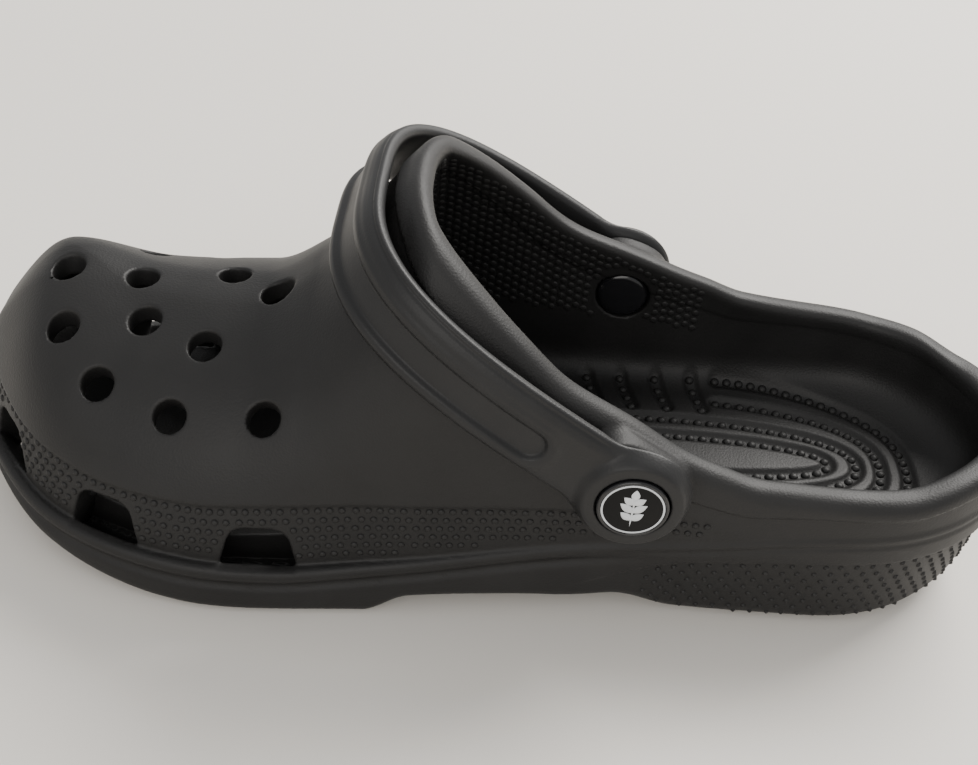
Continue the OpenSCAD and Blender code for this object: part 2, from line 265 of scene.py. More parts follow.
def swell(x, middle, width):
    """1 at the middle, falling to 0 on both sides."""
    return np.exp(-((x - middle) / width) ** 2)


def surface_net(field, lo, hi, step):
    """Quad mesh of field = 0. Only the blocks of the grid near the surface are worked out finely."""
    coarse = 5          # grid steps along one side of a block
    lo, hi = np.array(lo, float), np.array(hi, float)
    n = (np.ceil((hi - lo) / step / coarse).astype(int)) * coarse + 1
    axes_c = [lo[k] + step * np.arange(0, n[k], coarse) for k in range(3)]
    gc = np.meshgrid(*axes_c, indexing="ij")
    fc = field(*(g.ravel() for g in gc)).reshape(gc[0].shape)
    near = np.abs(fc) < 1.5 * coarse * step
    m = np.array(near.shape) - 1
    blocks = np.zeros(m, bool)
    for i, j, k in np.ndindex(2, 2, 2):
        blocks |= near[i:i + m[0], j:j + m[1], k:k + m[2]]
    values = np.repeat(np.repeat(np.repeat(fc, coarse, 0), coarse, 1), coarse, 2)[:n[0], :n[1], :n[2]]
    values = values.astype(np.float32)
    mask = np.zeros(n, bool)
    big = np.repeat(np.repeat(np.repeat(blocks, coarse, 0), coarse, 1), coarse, 2)
    for i, j, k in np.ndindex(2, 2, 2):
        mask[i:i + big.shape[0], j:j + big.shape[1], k:k + big.shape[2]] |= big
    idx = np.nonzero(mask)
    out = np.empty(len(idx[0]), np.float32)
    for k in range(0, len(out), 400000):
        out[k:k + 400000] = field(*(lo[a] + step * idx[a][k:k + 400000] for a in range(3)))
    values[mask] = out
    solid = values < 0
    count = sum(solid[i:n[0] - 1 + i, j:n[1] - 1 + j, k:n[2] - 1 + k].astype(np.uint8)
                for i in (0, 1) for j in (0, 1) for k in (0, 1))
    inside = big[:n[0] - 1, :n[1] - 1, :n[2] - 1]
    cells = np.nonzero((count > 0) & (count < 8) & inside)
    number = np.full(count.shape, -1, np.int64)
    number[cells] = np.arange(len(cells[0]))
    corners = np.array([(i, j, k) for i in (0, 1) for j in (0, 1) for k in (0, 1)])
    v = np.stack([values[cells[0] + i, cells[1] + j, cells[2] + k] for i, j, k in corners], 1).astype(float)
    total, hits = np.zeros((len(v), 3)), np.zeros(len(v))
    for a in range(8):
        for b in range(a + 1, 8):
            if np.abs(corners[a] - corners[b]).sum() == 1:
                cross = (v[:, a] < 0) != (v[:, b] < 0)
                t = np.where(cross, v[:, a] / np.where(cross, v[:, a] - v[:, b], 1), 0)
                total += cross[:, None] * (corners[a] + t[:, None] * (corners[b] - corners[a]))
                hits += cross
    points = lo + step * (np.stack(cells, 1) + total / hits[:, None])
    quads = []
    for axis in range(3):
        u, w = (axis + 1) % 3, (axis + 2) % 3
        core = [slice(1, n[k] - 1) for k in range(3)]
        core[axis] = slice(0, n[axis] - 1)
        after = list(core)
        after[axis] = slice(1, n[axis])
        start, end = solid[tuple(core)], solid[tuple(after)]
        edge = np.nonzero(start != end)
        at = [edge[k] + core[k].start for k in range(3)]
        ring = []
        for du, dw in ((0, 0), (-1, 0), (-1, -1), (0, -1)):
            c = list(at)
            c[u], c[w] = at[u] + du, at[w] + dw
            ring.append(number[c[0], c[1], c[2]])
        ring = np.stack(ring, 1)
        flip = ~start[edge]
        ring[flip] = ring[flip][:, ::-1]
        quads.append(ring[(ring >= 0).all(axis=1)])
    return points, np.vstack(quads)


def gradient(field, p, h=0.4):
    """Slope of a field at points."""
    g = np.empty_like(p)
    for k in range(3):
        d = np.zeros(3)
        d[k] = h
        g[:, k] = (field(*(p + d).T) - field(*(p - d).T)) / (2 * h)
    return g


def settle(field, p, rounds=2, limit=0.5):
    """Moves points onto field = 0."""
    for _ in range(rounds):
        g = gradient(field, p)
        move = -(field(*p.T) / np.maximum((g * g).sum(1), 0.05))[:, None] * g
        size = np.linalg.norm(move, axis=1, keepdims=True)
        p = p + move * np.minimum(1, limit / np.maximum(size, 1e-9))
    return p


# ---------------------------------------------------------------- the shell's shape
OUTLINE = bead_outline()
TANGENT = np.roll(OUTLINE, -1, axis=0) - np.roll(OUTLINE, 1, axis=0)
TANGENT /= np.linalg.norm(TANGENT, axis=1, keepdims=True)
OUTWARD = np.c_[TANGENT[:, 1], -TANGENT[:, 0]]
OUTLINE_STEP = np.linalg.norm(OUTLINE[1] - OUTLINE[0])
OUTLINE_LENGTH = OUTLINE_STEP * len(OUTLINE)


def outline_fields(x, y):
    """Signed distance to the bead line in plan, and a depth inside it with no crease down the middle."""
    middle = len(OUTLINE) // 2
    outer_side = nearest_on(OUTLINE[:middle + 1:2], x, y, closed=False)[0]
    inner_side = nearest_on(np.vstack([OUTLINE[middle::2], OUTLINE[:1]]), x, y, closed=False)[0]
    dist, side, _ = nearest_on(OUTLINE[::2], x, y)
    soft = smin(outer_side, inner_side, np.maximum(0.35 * dist, 0.01))
    return [np.where(side > 0, -dist, dist), np.where(side > 0, soft, -dist)]


PLAN = Field2D((-158, -72), (158, 68), 1.0, outline_fields)


def collar_fields(x, z):
    """Signed distance in side view to the collar line, positive in the open air above it."""
    xs = np.linspace(COLLAR[0][0], COLLAR[-1][0], 140)
    line = np.vstack([[[xs[0] - 0.5, 145]], np.c_[xs, along(COLLAR, xs)], [[175, 56]]])
    dist, side, _ = nearest_on(line, x, z, closed=False)
    return [np.where(side > 0, dist, -dist)]


SIDE = Field2D((-158, -6), (158, 128), 1.0, collar_fields)


def above_collar(x, y, z):
    """Signed distance to the collar line, positive in the open air above it."""
    return SIDE(x, z - inner_rise(x) * ease(y, -8, 8))


def dome(x, y, z, inset=0.0):
    """Distance to the upper's outer surface, which rises from the bead line and arches over to the ridge."""
    d = PLAN(x, y, 1) - inset
    zb = bead(x)
    rise = ridge(x) - zb
    far = reach(x)
    power = fullness(x)
    u = 1 - np.minimum(d / far, 1)
    w = np.maximum((z - zb) / rise, 0)
    g = u ** power + w ** ARCH - 1
    gd = power * u ** (power - 1) / far
    gz = ARCH * w ** (ARCH - 1) / rise
    gx = gz * (bead.slope(x) + w * (ridge.slope(x) - bead.slope(x)))
    return g / np.maximum(np.sqrt(gd * gd + gz * gz + gx * gx), 0.012)


def dome_height(x, y):
    """Height of the upper's outer surface over a point in plan."""
    z = np.linspace(30, 118, 353)
    f = dome(np.full_like(z, x), np.full_like(z, y), z)
    k = np.nonzero(f > 0)[0]
    return z[k[0]] if len(k) else 118.0


VENTS = [(x, y, dome_height(x, y), math.radians(y - VENT_LEAN_Y)) for x, y in VENT_PLACES]


def ports():
    """Place, heading along the bead line and sill height of each drain port."""
    places = []
    for turn, side in [(t, s) for t in PORT_TURNS for s in (0, 1)] + [(0, 0)]:
        x, y = -HALF * math.cos(math.radians(turn)), plan_at(turn)[side]
        ax, ay = -HALF * math.cos(math.radians(turn + 1)), plan_at(turn + 1)[side]
        heading = math.pi / 2 if turn == 0 else math.atan2(ay - y, ax - x)
        places.append((x, y, float(bead(x)) + 0.5, heading))
    return places


PORTS = ports()


def port_field(x, y, z, place):
    """A drain port, negative inside; its sill falls away inwards behind a narrow lip."""
    px, py, pz, heading = place
    c, s = math.cos(heading), math.sin(heading)
    a = np.abs((x - px) * c + (y - py) * s)
    n = np.abs(-(x - px) * s + (y - py) * c)
    b = z - pz
    slant = PORT_WIDTH / 2 * (1 - PORT_TAPER) / PORT_HEIGHT
    side = (a - PORT_WIDTH / 2 + slant * b) / math.sqrt(1 + slant ** 2)
    f = smax(side, b - PORT_HEIGHT, 4.5)
    depth = np.maximum(-PLAN(x, y) - SILL_DEPTH, 0)
    f = smax(f, -b - 1.6 * depth, 1.2)
    return np.maximum(f, n - 14)


def sole_inset(x, z):
    """How far the sole's side lies inside the bead outline, from the ground up to the bead."""
    zb, zg = bead(x), ground(x)
    up, down = z - zg, zb - z
    height = zb - zg
    front = 1 - ease(x, 23, 60)
    back = 1 - front
    lean = 0.2 + 3.4 * back
    taper = lean * np.clip(1 - up / height, 0, 1) ** 1.6
    radius = 5.5 - 2.0 * front
    corner = np.clip(radius - up, 0, radius)
    corner = radius - np.sqrt(np.maximum(radius ** 2 - corner ** 2, 0))
    # A wide groove round the front, a fine line round the heel, and the dotted wall set in below it
    groove = 1.1 * swell(down, 4.8, 1.5) * front
    line = 0.7 * swell(down, 2.6, 0.9) * back
    recess = 1.6 * back * (1 - ease(z, heel_band(x) - 0.5, heel_band(x) + 0.5))
    return taper + corner * 0.9 + groove + line + recess


def sole(x, y, z):
    """The sole from the tread up to the ledge at the bead line."""
    step = 0.25
    inset = sole_inset(x, z)
    tilt = (sole_inset(x, z + step) - inset) / step
    side = (PLAN(x, y) + inset) / np.sqrt(1 + tilt * tilt)
    top = z - bead(x) - 0.4
    f = smax(side, top, 2.6)
    hollow = LUG_HEIGHT * ease(-PLAN(x, y), 6.5, 8.0)
    return smax(f, ground(x) + hollow - z, 1.6)


def rand_surface(x, y, z):
    """The upper's outer wall, set in from the bead line, the vamp a little proud of the rand."""
    inset = rand_inset(x)
    proud = 0.7 * ease(z, rand_top(x) + 0.8, rand_top(x) + 2.6) * (1 - ease(x, 40, 66))
    return dome(x, y, z, inset) - proud


def collar_band(x, y, z):
    """1 on the raised band round the opening, 0 below it."""
    return ease(above_collar(x, y, z) + band_width(x), -0.6, 0.6)


def outer(x, y, z):
    """Upper and sole together, solid."""
    upper = np.maximum(rand_surface(x, y, z) - BAND_PROUD * collar_band(x, y, z), bead(x) - 4 - z)
    return smin(upper, sole(x, y, z), 0.9)


def seats(x, y, z):
    """Round pads that the strap's bosses turn on."""
    r = np.hypot(x - RIVET_X, z - RIVET_Z)
    f = smax(r - SEAT_RADIUS, np.abs(y) - SEAT_Y, 0.8)
    return smax(f, SEAT_Y - SEAT_DEPTH - np.abs(y), 0.8)


def bed_loop(half, end, start, bend):
    """A loop of the footbed, from its inner front round the heel to its outer front."""
    turn = np.radians(np.linspace(0, 90, 60))
    x = bend + (end - bend) * np.sin(turn) ** (2 / BED_SQUARENESS)
    y = half * np.cos(turn) ** (2 / BED_SQUARENESS)
    line = np.vstack([[[min(start, bend), half]], np.c_[x, y]])
    line = line[line[:, 0] >= start]
    line = np.vstack([line, line[::-1] * [1, -1]])
    return resample(line + [0, BED_MIDDLE_Y], 1.0, closed=False)


def bed_bar(x, side):
    """A short channel across the footbed, its outer end a little further forward."""
    return np.array([[x + slant, BED_MIDDLE_Y + side * (BAR_Y + out)]
                     for slant, out in ((-BAR_SLANT, BAR_REACH), (BAR_SLANT, -BAR_REACH))])


BED_LINES = [bed_loop(*loop) for loop in BED_LOOPS]
BED_LINES += [bed_bar(x, side) for x in BED_BARS for side in (-1, 1)]


def bed_fields(x, y):
    """Distance to the nearest channel of the footbed."""
    return [np.min([nearest_on(line, x, y, closed=False)[0] for line in BED_LINES], axis=0)]


BED = Field2D((20, -50), (132, 46), 0.6, bed_fields)


def cavity(x, y, z):
    """The room for the foot: negative inside."""
    wall = WALL + BAND_PROUD * collar_band(x, y, z)
    toe = 1 - ease(x, 0, 30)
    walls = smax(dome(x, y, z, rand_inset(x)) + wall, PLAN(x, y) + 8.5 - 2.0 * toe, 4.0)
    d = -PLAN(x, y)
    dish = 3.0 * ease(x, 40, 120) * (1 - ease(d, 8, 24))
    groove = np.exp(-(BED(x, y) / 2.0) ** 4)
    bed = footbed(x) + dish - 1.3 * groove
    return smax(walls, bed - z, 9.0)


def shell_field(x, y, z):
    """The whole moulding: negative in the foam."""
    body = smin(outer(x, y, z), seats(x, y, z), 2.2)
    f = smax(body, -cavity(x, y, z), 1.0)
    f = smax(f, above_collar(x, y, z), 4.0)
    r = np.hypot(x - RIVET_X, z - RIVET_Z)
    f = smax(f, -smax(r - BACK_RADIUS - BACK_ROOM, np.abs(y) - SEAT_Y + SEAT_DEPTH, 0.4), 0.5)
    f = smax(f, SHANK_RADIUS + RUNNING_GAP - r, 0.2)
    # Each vent and port is worked out only for the points round it
    for vx, vy, vz, lean in VENTS:
        near = (np.abs(x - vx) < 12) & (np.abs(y - vy) < 16) & (z > vz - 17)
        if near.any():
            px, py, pz = x[near] - vx, y[near] - vy, z[near] - vz
            across = py * math.cos(lean) - pz * math.sin(lean)
            f[near] = smax(f[near], VENT_RADIUS - np.hypot(px, across), 0.9)
    for place in PORTS:
        near = (np.hypot(x - place[0], y - place[1]) < 20) & (np.abs(z - place[2] - 5) < 14)
        if near.any():
            f[near] = smax(f[near], -port_field(x[near], y[near], z[near], place), 1.0)
    return f


# ---------------------------------------------------------------- the strap's shape, in its own frame
def strap_line():
    """Middle of the band as (y, reach), from one rivet over the vamp to the other."""
    turn = np.radians(np.linspace(-90, 90, 721))
    half_span = BOSS_OUTER - BOSS_PROUD - STRAP_THICKNESS / 2
    far = STRAP_REACH - STRAP_THICKNESS / 2
    y = half_span * np.sign(turn) * np.abs(np.sin(turn)) ** (2 / STRAP_SQUARENESS)
    out = far * np.cos(turn).clip(0) ** (2 / STRAP_SQUARENESS)
    line = np.vstack([[-half_span, -24], np.c_[y, out], [half_span, -24]])
    return resample(line, 0.6, closed=False)


STRAP_LINE = strap_line()


def strap_fields(y, out):
    """Signed distance to the band's middle line, and length along it from its middle."""
    dist, side, s = nearest_on(STRAP_LINE, y, out, closed=False)
    length = np.linalg.norm(np.diff(STRAP_LINE, axis=0), axis=1).sum()
    return [np.where(side > 0, dist, -dist), s - length / 2]


STRAP_PLAN = Field2D((-66, -22), (66, 100), 0.8, strap_fields)
# The sunk panel along the band: where its round ends are centred, its middle across the band, half width
PANEL_END, PANEL_W, PANEL_HALF = 88.0, -1.8, 4.4


def strap_field(y, out, w):
    """The heel strap: y across the clog, out from the rivet axis, w across the band towards the heel."""
    n = STRAP_PLAN(y, out)
    s = STRAP_PLAN(y, out, 1)
    disc = np.hypot(out, w) - BOSS_RADIUS
    flat = smin(np.maximum(np.abs(w) - STRAP_WIDTH / 2, -out), disc, 4.5)
    panel = np.hypot(np.maximum(np.abs(s) - PANEL_END, 0), w - PANEL_W) - PANEL_HALF
    outside = ease(n, 0, 1)
    band = ease(out, 10, 18)
    sunk_panel = -1.15 * ease(-panel, -0.1, 1.1)
    raised_border = 0.45 * swell(panel, 1.7, 1.3)
    rear_edge = -band * (0.7 * ease(w, 6.4, 9.0) + 0.5 * swell(w, 9.2, 0.4))
    relief = sunk_panel + raised_border + rear_edge + BOSS_PROUD * ease(-disc, 0, 3)
    thick = np.abs(n) - STRAP_THICKNESS / 2 - outside * relief
    f = smax(flat, thick, 4.8 - 2.4 * band * ease(w, 4, 9))
    from_axis = np.hypot(out, w)
    cap_recess = np.maximum(from_axis - CAP_RADIUS - CAP_ROOM, BOSS_OUTER - CAP_SINK - np.abs(y))
    f = smax(f, -cap_recess, 0.5)
    return smax(f, SHANK_RADIUS + RUNNING_GAP - from_axis, 0.2)


# ---------------------------------------------------------------- meshes
def new_object(name, points, faces, normals=None):
    """An object in metres from points in millimetres and faces of one size."""
    faces = np.asarray(faces)
    mesh = bpy.data.meshes.new(name)
    mesh.vertices.add(len(points))
    mesh.vertices.foreach_set("co", (np.asarray(points) * MM).ravel())
    mesh.loops.add(faces.size)
    mesh.loops.foreach_set("vertex_index", faces.ravel().astype(np.int32))
    mesh.polygons.add(len(faces))
    mesh.polygons.foreach_set("loop_start", np.arange(0, faces.size, faces.shape[1], dtype=np.int32))
    mesh.update(calc_edges=True)
    mesh.validate()
    mesh.shade_smooth()
    if normals is not None:
        mesh.normals_split_custom_set_from_vertices(normals.tolist())
    piece = bpy.data.objects.new(name, mesh)
    bpy.context.scene.collection.objects.link(piece)
    return piece


def points_of(mesh):
    """A mesh's points in millimetres."""
    flat = np.empty(len(mesh.vertices) * 3)
    mesh.vertices.foreach_get("co", flat)
    return flat.reshape(-1, 3) / MM


def thinned(points, quads, triangles):
    """The same surface with at most so many triangles, the small ones kept where it curves."""
    if 2 * len(quads) <= triangles:
        return points, quads
    rough = new_object("rough", points, quads)
    reduce = rough.modifiers.new("reduce", "DECIMATE")
    reduce.ratio = triangles / (2 * len(quads))
    reduce.use_collapse_triangulate = True
    graph = bpy.context.evaluated_depsgraph_get()
    mesh = bpy.data.meshes.new_from_object(rough.evaluated_get(graph))
    faces = np.empty(len(mesh.polygons) * 3, np.int32)
    mesh.polygons.foreach_get("vertices", faces)
    points = points_of(mesh)
    bpy.data.meshes.remove(mesh)
    bpy.data.objects.remove(rough)
    return points, faces.reshape(-1, 3)


def moulded(name, field, lo, hi, step, triangles, place=lambda p: p):
    """A smooth solid of field < 0, moved by place and shaded with the field's own slopes."""
    points, faces = surface_net(field, lo, hi, step)
    points = settle(field, points)
    points, faces = thinned(points, faces, triangles)
    points = settle(field, points, rounds=1, limit=0.2)
    slopes = gradient(field, points)
    slopes /= np.maximum(np.linalg.norm(slopes, axis=1, keepdims=True), 1e-6)
    origin = place(np.zeros((1, 3)))
    return new_object(name, place(points), faces, place(slopes) - origin)


def strap_place(p):
    """From the strap's own frame (y, out, w) to the clog's, lying forward on the vamp."""
    c, s = math.cos(STRAP_REST), math.sin(STRAP_REST)
    y, out, w = p.T
    return np.c_[RIVET_X - out * c + w * s, y, RIVET_Z + out * s + w * c]


def studs(name, places, normals, radius, height, profile, sides=8):
    """Many small turned bumps as one mesh. profile is [part of radius, part of height] from foot to tip."""
    normals = normals / np.linalg.norm(normals, axis=1, keepdims=True)
    helper = np.where(np.abs(normals[:, 2:]) < 0.9, [[0, 0, 1.0]], [[1.0, 0, 0]])
    t1 = np.cross(helper, normals)
    t1 /= np.linalg.norm(t1, axis=1, keepdims=True)
    t2 = np.cross(normals, t1)
    angles = 2 * np.pi * np.arange(sides) / sides
    ring = [[r * radius * np.cos(a), r * radius * np.sin(a), h * height]
            for r, h in profile[:-1] for a in angles]
    local = np.array(ring + [[0, 0, profile[-1][1] * height]])
    points = (places[:, None] + local[None, :, :1] * t1[:, None] + local[None, :, 1:2] * t2[:, None]
              + local[None, :, 2:] * normals[:, None])
    faces = []
    rings = len(profile) - 1
    for k in range(rings - 1):
        for a in range(sides):
            b = (a + 1) % sides
            lo, hi = k * sides, (k + 1) * sides
            faces += [[lo + a, lo + b, hi + b], [lo + a, hi + b, hi + a]]
    tip = rings * sides
    faces += [[tip - sides + a, tip - sides + (a + 1) % sides, tip] for a in range(sides)]
    faces += [[0, a + 1, a] for a in range(1, sides - 1)]
    faces = np.array(faces)
    count = len(local)
    every = (faces[None] + count * np.arange(len(places))[:, None, None]).reshape(-1, 3)
    return new_object(name, points.reshape(-1, 3), every)


def turned(r, a, y, side):
    """A point of a rivet, from radius and angle about its axis and distance from the centre plane."""
    return [RIVET_X + r * math.cos(a), side * y, RIVET_Z + r * math.sin(a)]


def lathe(name, profile, side, sides=96):
    """A turned part on the rivet axis from [radius, distance from the centre plane] points."""
    angles = 2 * np.pi * np.arange(sides) / sides
    profile = np.array(profile, float)
    inner = profile[1:-1]
    points = [turned(r, a, y, side) for r, y in inner for a in angles]
    first, last = len(points), len(points) + 1
    points += [[RIVET_X, side * profile[0, 1], RIVET_Z], [RIVET_X, side * profile[-1, 1], RIVET_Z]]
    faces = []
    for a in range(sides):
        b = (a + 1) % sides
        for k in range(len(inner) - 1):
            lo, hi = k * sides, (k + 1) * sides
            faces += [[lo + a, hi + b, lo + b], [lo + a, hi + a, hi + b]]
        top = (len(inner) - 1) * sides
        faces += [[first, a, b], [last, top + b, top + a]]
    faces = np.array(faces)
    return new_object(name, np.array(points), faces if side > 0 else faces[:, ::-1])


def fillet(start, corner, end, steps=6):
    """Points of a rounded corner in a profile."""
    start, corner, end = (np.array(p, float) for p in (start, corner, end))
    return [tuple((1 - t) ** 2 * start + 2 * t * (1 - t) * corner + t * t * end)
            for t in np.linspace(0, 1, steps)]


# ---------------------------------------------------------------- materials
def new_material(name):
    material = bpy.data.materials.new(name)
    material.use_nodes = True
    nodes = material.node_tree.nodes
    return material, nodes, material.node_tree.links, nodes["Principled BSDF"]


def texture(nodes, links, place, kind, scale, detail):
    """A noise or Voronoi texture laid over the object."""
    node = nodes.new("ShaderNodeTex" + kind)
    node.inputs["Scale"].default_value = scale
    node.inputs["Detail"].default_value = detail
    links.new(place.outputs["Object"], node.inputs["Vector"])
    return node


def tones(nodes, links, shader, pattern, dark, light, start=0.0, end=1.0):
    """Base colour between two tones by a pattern."""
    tone = nodes.new("ShaderNodeValToRGB")
    for stop, position, colour in zip(tone.color_ramp.elements, (start, end), (dark, light)):
        stop.position = position
        stop.color = (*colour, 1)
    links.new(pattern.outputs["Fac"], tone.inputs["Fac"])
    links.new(tone.outputs["Color"], shader.inputs["Base Color"])


def roughen(nodes, links, shader, pattern, low, high):
    """Roughness between two values by a pattern."""
    worn = nodes.new("ShaderNodeMapRange")
    worn.inputs["To Min"].default_value = low
    worn.inputs["To Max"].default_value = high
    links.new(pattern.outputs["Fac"], worn.inputs["Value"])
    links.new(worn.outputs["Result"], shader.inputs["Roughness"])


def emboss(nodes, links, shader, height, strength, distance):
    """Bump from a height output."""
    bump = nodes.new("ShaderNodeBump")
    bump.inputs["Strength"].default_value = strength
    bump.inputs["Distance"].default_value = distance
    links.new(height, bump.inputs["Height"])
    links.new(bump.outputs["Normal"], shader.inputs["Normal"])


def foam_material(name, dark, light, roughness, grain):
    """Closed-cell foam: near black, faintly mottled, with a fine leathery grain."""
    material, nodes, links, shader = new_material(name)
    place = nodes.new("ShaderNodeTexCoord")
    mottle = texture(nodes, links, place, "Noise", 60, 5)
    tones(nodes, links, shader, mottle, dark, light, 0.3, 0.72)
    cells = texture(nodes, links, place, "Voronoi", 1500, 0)
    fine = texture(nodes, links, place, "Noise", 2500, 3)
    both = nodes.new("ShaderNodeMath")
    both.operation = "ADD"
    links.new(cells.outputs["Distance"], both.inputs[0])
    links.new(fine.outputs["Fac"], both.inputs[1])
    emboss(nodes, links, shader, both.outputs["Value"], grain, 0.00025)
    roughen(nodes, links, shader, mottle, roughness - 0.06, roughness + 0.08)
    shader.inputs["Specular IOR Level"].default_value = 0.3
    return material


def gloss_material(name, colour, roughness, shine):
    """Smooth moulded plastic with a faint haze and a faint bumpy texture."""
    material, nodes, links, shader = new_material(name)
    place = nodes.new("ShaderNodeTexCoord")
    haze = texture(nodes, links, place, "Noise", 300, 6)
    tones(nodes, links, shader, haze, [c * 0.85 for c in colour], [min(1, c * 1.12) for c in colour])
    roughen(nodes, links, shader, haze, roughness * 0.7, roughness * 1.5)
    emboss(nodes, links, shader, haze.outputs["Fac"], 0.05, 0.0001)
    shader.inputs["Specular IOR Level"].default_value = shine
    return material


SHELL_FOAM = foam_material("shell_foam", (0.0105, 0.0102, 0.0101), (0.0145, 0.0141, 0.0139), 0.5, 0.2)
STRAP_FOAM = foam_material("strap_foam", (0.0115, 0.0115, 0.0118), (0.0155, 0.0156, 0.016), 0.44, 0.12)
RIVET_BLACK = gloss_material("rivet_black", (0.008, 0.008, 0.009), 0.16, 0.5)
BADGE_BLACK = gloss_material("badge_black", (0.006, 0.006, 0.006), 0.3, 0.12)
BADGE_PALE = gloss_material("badge_pale", (0.62, 0.64, 0.66), 0.4, 0.3)


def finish(piece, material, body, slot, *nodes):
    """Gives a piece its material and body, and hides the CAD nodes that it stands for. The slot is not used.
    """
    piece.data.materials.append(material)
    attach(piece, body)
    if nodes:
        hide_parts(*nodes)
    return piece


# ---------------------------------------------------------------- the pieces
STEP = 0.8
LIMIT = 190000    # triangles in one piece
# Profiles of small bumps, as (part of the radius, part of the height) from foot to tip
DOME = [(1.0, -0.35), (0.93, 0.3), (0.62, 0.78), (0.0, 1.0)]
SPIKE = [(1.1, -0.3), (0.72, 0.3), (0.3, 0.85), (0.0, 1.0)]
LUG = [(1.0, -0.4), (1.0, 0.7), (0.9, 1.0), (0.0, 1.0)]


def shell():
    """The foam shell, one moulding."""
    piece = moulded("clog_shell_moulding", shell_field, (-151, -62, -3), (151, 62, 118), STEP, LIMIT)
    finish(piece, SHELL_FOAM, "shell", "shell_foam", "clog_shell")


def strap():
    """The heel strap, one moulding."""
    piece = moulded("heel_strap_moulding", strap_field, (-57, -17, -16), (57, 95, 16), STEP * 0.62, LIMIT,
                    strap_place)
    finish(piece, STRAP_FOAM, "strap", "strap_foam", "heel_strap")


def wall_places(field, s, z):
    """Points on a field near the bead outline, at lengths s round it and heights z, with their slopes."""
    i = np.round(s / OUTLINE_STEP).astype(int) % len(OUTLINE)
    p = np.c_[OUTLINE[i], z]
    for _ in range(14):
        p[:, :2] -= 0.7 * field(*p.T)[:, None] * OUTWARD[i]
    return p, gradient(field, p)


def from_rivet(p):
    """Distance of points from the rivet axis."""
    return np.hypot(p[:, 0] - RIVET_X, p[:, 2] - RIVET_Z)


def staggered(pitch, rows, height, keep):
    """Lengths round the bead outline and heights of staggered rows of bumps, where keep(x, z) is true."""
    places = []
    for row in range(rows):
        s = np.arange(row % 2 * pitch / 2, OUTLINE_LENGTH, pitch)
        x = OUTLINE[np.round(s / OUTLINE_STEP).astype(int) % len(OUTLINE), 0]
        z = height(x, row)
        places.append(np.c_[s, z][keep(x, z)])
    return np.vstack(places).T


def rand_dots():
    """Staggered rows of low round nubs on the rand round the toe."""
    pitch, drop = 3.1, 2.85
    s, z = staggered(pitch, 8, lambda x, row: rand_top(x) - row * drop,
                     lambda x, z: (x < 60) & (z > bead(x) + 2.6))
    p, n = wall_places(rand_surface, s, z)
    keep = np.min([port_field(*p.T, place) for place in PORTS], axis=0) > 1.5
    keep &= from_rivet(p) > SEAT_RADIUS + 2
    keep &= above_collar(*p.T) < -band_width(p[:, 0]) - 1.5
    piece = studs("rand_dots", p[keep], n[keep], 1.0, 0.55, DOME)
    finish(piece, SHELL_FOAM, "shell", "shell_foam")


def heel_studs():
    """Staggered rows of small pointed studs on the lower wall round the heel."""
    pitch, drop = 4.4, 2.9
    s, z = staggered(pitch, 9, lambda x, row: heel_band(x) - 2.4 - row * drop,
                     lambda x, z: (x > 46) & (z > ground(x) + 2.5))
    p, n = wall_places(sole, s, z)
    piece = studs("heel_studs", p, n, 0.9, 0.65, SPIKE)
    finish(piece, SHELL_FOAM, "shell", "shell_foam")


def tread_lugs():
    """Six-sided lugs under the ball of the foot and the heel, level with the rim of the sole."""
    x, y = np.meshgrid(np.arange(-112, 120, LUG_PITCH_X), np.arange(-48, 50, LUG_PITCH_Y), indexing="ij")
    y = y + LUG_PITCH_Y / 2 * (np.arange(len(y))[:, None] % 2)
    x, y = x.ravel(), y.ravel()
    keep = (PLAN(x, y) < -12) & ((x < -35) | (x > 66))
    p = np.c_[x, y, ground(x) + LUG_HEIGHT][keep]
    down = np.tile([0.0, 0.0, -1.0], (len(p), 1))
    piece = studs("tread_lugs", p, down, LUG_WIDTH / 2, LUG_HEIGHT - 0.05, LUG, sides=6)
    finish(piece, SHELL_FOAM, "shell", "shell_foam")


def on_footbed(x, y):
    """Points on the footbed over places in plan, with its normals."""
    p = np.c_[x, y, footbed(x) + 3.0]
    for _ in range(10):
        p[:, 2] += 0.8 * cavity(*p.T)
    return p, -gradient(cavity, p)


def footbed_nubs():
    """Nubs standing in the footbed's channels."""
    x, y = np.vstack([resample(line, NUB_PITCH, closed=False) for line in BED_LINES]).T
    p, n = on_footbed(x, y)
    level = n[:, 2] > 0.5 * np.linalg.norm(n, axis=1)
    piece = studs("footbed_nubs", p[level], n[level], 1.4, 1.0, DOME, sides=10)
    finish(piece, SHELL_FOAM, "shell", "shell_foam")


def throat_pebbles():
    """Low pebbles over the lining of the throat."""
    pitch, middle_y, middle_z = 2.7, -3, 46
    row_pitch = pitch * 0.87    # rows of a triangular pattern
    angle = np.radians(np.linspace(-35, 215, 400))
    found = []
    for k, x in enumerate(np.arange(-32, 60, row_pitch)):
        low, high = np.zeros(len(angle)), np.full(len(angle), 75.0)
        for _ in range(22):
            r = (low + high) / 2
            y, z = middle_y + r * np.cos(angle), middle_z + r * np.sin(angle)
            free = cavity(np.full(len(angle), x), y, z) < 0
            low, high = np.where(free, r, low), np.where(free, high, r)
        line = np.c_[middle_y + low * np.cos(angle), middle_z + low * np.sin(angle)]
        line = resample(line, pitch, closed=False)
        if k % 2:
            line = (line[1:-1] + line[2:]) / 2
        found.append(np.c_[np.full(len(line), x), line])
    p = np.vstack(found)
    p = p[(above_collar(*p.T) < -3.0) & (p[:, 2] > 43) & (from_rivet(p) > BACK_RADIUS + 2.5)]
    piece = studs("throat_pebbles", p, -gradient(cavity, p), 1.2, 0.34, DOME)
    finish(piece, SHELL_FOAM, "shell", "shell_foam")


